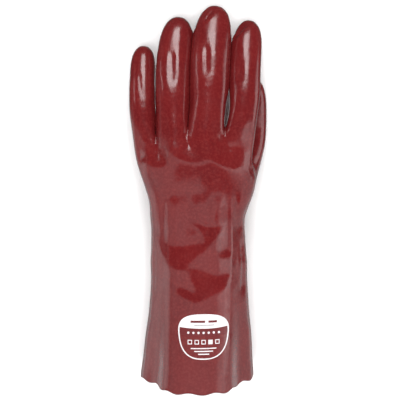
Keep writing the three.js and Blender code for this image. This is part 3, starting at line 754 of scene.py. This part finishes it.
# The inks, in the order of their slots: name, pale and deep colour, and roughness.
INKS = (
    ("ink_white", (0.82, 0.80, 0.81, 1), (0.72, 0.66, 0.67, 1), 0.3),
    ("ink_dark_red", (0.115, 0.010, 0.012, 1), (0.15, 0.014, 0.016, 1), 0.3),
    ("ink_grey", (0.30, 0.28, 0.29, 1), (0.40, 0.36, 0.37, 1), 0.35),
)


def printed_panel(over):
    """A plain panel: white outline, white head with bars, a dark band of dots, small boxes and bars."""
    ink = Ink(over)
    outline = []
    for k in range(OUTLINE_TURNS):
        angle = 2 * math.pi * k / OUTLINE_TURNS
        outline.append([panel_point(angle, scale) for scale in OUTLINE_SCALES])
    ink.slab(outline, OUTLINE_RISE, WHITE, closed=True)
    for *shape, rise, slot in FILLED_PARTS:
        ink.slab(filled_part(*shape), rise, slot)
    for bar in BARS:
        ink.bar(*bar)
    for k in range(DOTS):
        dot(ink, (k - (DOTS - 1) / 2) * DOT_STEP, DOT_HEIGHT, DOT_RADIUS)
    for k in range(BOXES):
        small_box(ink, (k - (BOXES - 1) / 2) * BOX_STEP, BOX_HEIGHT, k == FILLED_BOX)
    mesh = bpy.data.meshes.new("panel_ink")
    mesh.from_pydata(ink.points, [], ink.faces)
    for look in INKS:
        mesh.materials.append(ink_material(*look))
    mesh.polygons.foreach_set("material_index", ink.slots)
    mesh.update()
    obj = add_object("panel_ink", mesh)
    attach(obj, "root")
    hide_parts("print_panel")


def dot(ink, x, y, radius, turns=16):
    rings = []
    for k in range(turns):
        c = radius * math.cos(2 * math.pi * k / turns)
        s = radius * math.sin(2 * math.pi * k / turns)
        rings.append([(x + c * share, y + s * share) for share in (1.0, DOT_INNER_RING)])
    ink.slab(rings, DOT_RISE, WHITE, closed=True)


def small_box(ink, x, y, filled):
    if filled:
        ink.bar(x, y, BOX_SIDE, BOX_SIDE)
        return
    middle_of_line = (BOX_SIDE - BOX_LINE) / 2
    for sign in (-1, 1):
        ink.bar(x, y + sign * middle_of_line, BOX_SIDE, BOX_LINE)
        ink.bar(x + sign * middle_of_line, y, BOX_LINE, BOX_SIDE - 2 * BOX_LINE)


# The floor's half width and the dome's radius in m, and greys from 0 to 1.
FLOOR_HALF = 3.0
FLOOR_TONE = 0.93
BACKDROP_RADIUS = 2.0
BACKDROP_TONE = 0.96
STUDIO_TONE = 0.05


def floor_piece():
    """A plain pale floor."""
    mesh = bpy.data.meshes.new("floor")
    bm = bmesh.new()
    bmesh.ops.create_grid(bm, x_segments=2, y_segments=2, size=FLOOR_HALF)
    bm.to_mesh(mesh)
    bm.free()
    obj = add_object("floor", mesh)
    mat, _, bsdf = new_material("floor_paper")
    bsdf.inputs["Base Color"].default_value = (FLOOR_TONE, FLOOR_TONE, FLOOR_TONE, 1)
    bsdf.inputs["Roughness"].default_value = 0.8
    bsdf.inputs["Specular IOR Level"].default_value = 0.1
    mesh.materials.append(mat)
    obj.visible_glossy = False


def backdrop():
    """A plain pale dome that only the camera sees, behind the floor."""
    mesh = bpy.data.meshes.new("backdrop")
    bm = bmesh.new()
    bmesh.ops.create_uvsphere(bm, u_segments=64, v_segments=32, radius=BACKDROP_RADIUS)
    bm.to_mesh(mesh)
    bm.free()
    obj = add_object("backdrop", mesh)
    mesh.materials.append(glow_material("backdrop_white", BACKDROP_TONE))
    obj.visible_diffuse = False
    obj.visible_glossy = False
    obj.visible_shadow = False
    obj.visible_transmission = False


# The dark card over the fingers, in m: left and right, near and far edge, and height.
CARD_ACROSS = (-1.6, 1.0)
CARD_ALONG = (0.03, 0.36)
CARD_HEIGHT = 0.45


def dark_card():
    """A dark card over the fingers that only reflections see: it ends the soft box above the knuckles."""
    mesh = bpy.data.meshes.new("dark_card")
    left, right = CARD_ACROSS
    near, far = CARD_ALONG
    corners = [(x, y, CARD_HEIGHT) for x, y in ((left, near), (right, near), (right, far), (left, far))]
    mesh.from_pydata(corners, [], [(0, 1, 2, 3)])
    obj = add_object("dark_card", mesh)
    mesh.materials.append(glow_material("card_black", STUDIO_TONE))
    obj.visible_camera = False
    obj.visible_diffuse = False
    obj.visible_shadow = False
    obj.visible_transmission = False


# The soft box overhead, by a direction's run along and across for one unit up: the least height that a
# direction counts with, the near edge, which bulges to the left and to the right, the far edge, the two ends
# and the brightness.
BOX_LOWEST = 0.05
BOX_NEAR = (-0.35, -0.22)
BOX_LEFT_BULGE = 1.3
BOX_RIGHT_BULGE = 0.7
BOX_RIGHT_FROM = 0.4
BOX_FAR = (0.235, 0.205)
BOX_ENDS = (4.0, 3.0)
BOX_TONE = 0.84
# The pale floor as the glove's sides reflect it: how far down it starts and is whole, and its brightness.
FLOOR_GLOW_DOWN = (-0.55, -0.85)
FLOOR_GLOW_TONE = 0.35
# Soft panels beside the glove: side, low, high, rear and front edge as directions, and brightness.
SIDE_PANELS = (
    (-1, 0.05, 0.28, -0.9, 0.3, 0.5),
    (-1, -0.38, 0.05, -0.9, -0.02, 1.4),
    (-1, -0.80, -0.38, -0.9, -0.02, 0.8),
    (1, 0.40, 0.75, -0.26, 0.03, 1.2),
    (1, -0.15, 0.40, -0.14, 0.35, 2.3),
    (1, -0.80, 0.30, -0.9, -0.14, 0.8),
)
# How far sideways a panel starts and is whole, and how soft its other edges are.
PANEL_SIDEWAYS = (0.35, 0.55)
PANEL_SOFTNESS = 0.04


def soft_box(tree, part):
    """The overhead soft box: 1 in the directions that it fills."""
    height = maths(tree, "MAXIMUM", part.outputs["Z"], BOX_LOWEST)
    across = maths(tree, "DIVIDE", part.outputs["X"], height)
    along = maths(tree, "DIVIDE", part.outputs["Y"], height)
    left = maths(tree, "MAXIMUM", maths(tree, "MULTIPLY", across, -BOX_LEFT_BULGE))
    past = maths(tree, "SUBTRACT", across, BOX_RIGHT_FROM)
    right = maths(tree, "MAXIMUM", maths(tree, "MULTIPLY", past, BOX_RIGHT_BULGE))
    bulged = maths(tree, "ADD", along, maths(tree, "ADD", left, right))
    near = soft_step(tree, bulged, *BOX_NEAR)
    far = soft_step(tree, along, *BOX_FAR)
    ends = soft_step(tree, maths(tree, "ABSOLUTE", across), *BOX_ENDS)
    return maths(tree, "MULTIPLY", maths(tree, "MULTIPLY", near, far), ends)


def side_panel(tree, part, side, low, high, rear, front):
    """A soft panel beside the glove: 1 in the directions that it fills."""
    panel = soft_step(tree, maths(tree, "MULTIPLY", part.outputs["X"], side), *PANEL_SIDEWAYS)
    for axis, edge, sign in (("Z", low, 1), ("Z", high, -1), ("Y", rear, 1), ("Y", front, -1)):
        half = PANEL_SOFTNESS * sign
        step = soft_step(tree, part.outputs[axis], edge - half, edge + half)
        panel = maths(tree, "MULTIPLY", panel, step)
    return panel


def world_tent():
    """A dark studio with one wide soft box overhead and soft panels to the left and right."""
    world = bpy.data.worlds.new("tent")
    bpy.context.scene.world = world
    world.use_nodes = True
    tree = world.node_tree
    tree.nodes.clear()
    out = tree.nodes.new("ShaderNodeOutputWorld")
    back = tree.nodes.new("ShaderNodeBackground")
    tree.links.new(back.outputs[0], out.inputs[0])
    place = node(tree, "ShaderNodeTexCoord").outputs["Generated"]
    part = node(tree, "ShaderNodeSeparateXYZ", {0: place})
    lights = [(soft_box(tree, part), BOX_TONE)]
    lights.append((soft_step(tree, part.outputs["Z"], *FLOOR_GLOW_DOWN), FLOOR_GLOW_TONE))
    lights += [(side_panel(tree, part, *edges), value) for *edges, value in SIDE_PANELS]
    lit = STUDIO_TONE
    for share, value in lights:
        lit = maths(tree, "ADD", maths(tree, "MULTIPLY", share, value), lit)
    tone = node(tree, "ShaderNodeCombineColor", {0: lit, 1: lit, 2: lit})
    tree.links.new(tone.outputs[0], back.inputs["Color"])
    back.inputs["Strength"].default_value = 1.0


# Lamps: name, place and what it looks at in m, size in m, power in W, and whether reflections show it.
LAMPS = (
    ("front_lamp", (0.0, 1.25, 0.95), (0, 0.1, 0.03), (0.55, 1.0), 16, True),
    ("left_lamp", (-1.25, 0.75, 0.62), (0, 0.1, 0.03), (0.12, 0.7), 1, True),
    ("fill", (0.0, -1.0, 2.1), (0, -0.1, 0), (2.4, 2.4), 57, False),
)


def lamp(name, where, at, size, power, in_reflections):
    light = bpy.data.lights.new(name, "AREA")
    light.shape = "RECTANGLE"
    light.size, light.size_y = size
    light.energy = power
    obj = add_object(name, light)
    obj.location = where
    obj.rotation_mode = "QUATERNION"
    obj.rotation_quaternion = (Vector(at) - Vector(where)).to_track_quat("-Z", "Y")
    obj.visible_glossy = in_reflections


# The photo's view: its width in pixels, the length that one of them covers at the aim, the sensor's width in
# mm, the camera's tilt, distance and aim, and how many pixels the glove stands off the middle.
PHOTO_PIXELS = 403
PIXEL_COVERS = 0.9285 * MM
SENSOR_WIDTH = 36
CAMERA_TILT = math.radians(-8)
CAMERA_DISTANCE = 1.0
CAMERA_AIM = Vector((0.0, 0.0, 0.030))
GLOVE_OFF_MIDDLE = (3.0, -6.0)


def camera():
    cam = bpy.data.cameras.new("photo")
    obj = add_object("photo", cam)
    cam.sensor_width = SENSOR_WIDTH
    cam.sensor_fit = "HORIZONTAL"
    cam.lens = SENSOR_WIDTH * CAMERA_DISTANCE / (PHOTO_PIXELS * PIXEL_COVERS)
    look = Vector((0.0, math.sin(CAMERA_TILT), -math.cos(CAMERA_TILT)))
    obj.location = CAMERA_AIM - look * CAMERA_DISTANCE
    right = Vector((1.0, 0.0, 0.0))
    up = right.cross(look)
    obj.rotation_mode = "QUATERNION"
    obj.rotation_quaternion = Matrix((right, up, -look)).transposed().to_quaternion()
    cam.shift_x = GLOVE_OFF_MIDDLE[0] / PHOTO_PIXELS
    cam.shift_y = GLOVE_OFF_MIDDLE[1] / PHOTO_PIXELS
    cam.clip_start = 0.05
    cam.clip_end = 20
    bpy.context.scene.camera = obj


printed_panel(main_skin())
floor_piece()
backdrop()
dark_card()
world_tent()
for settings in LAMPS:
    lamp(*settings)
camera()
bpy.context.scene.view_settings.view_transform = "Standard"
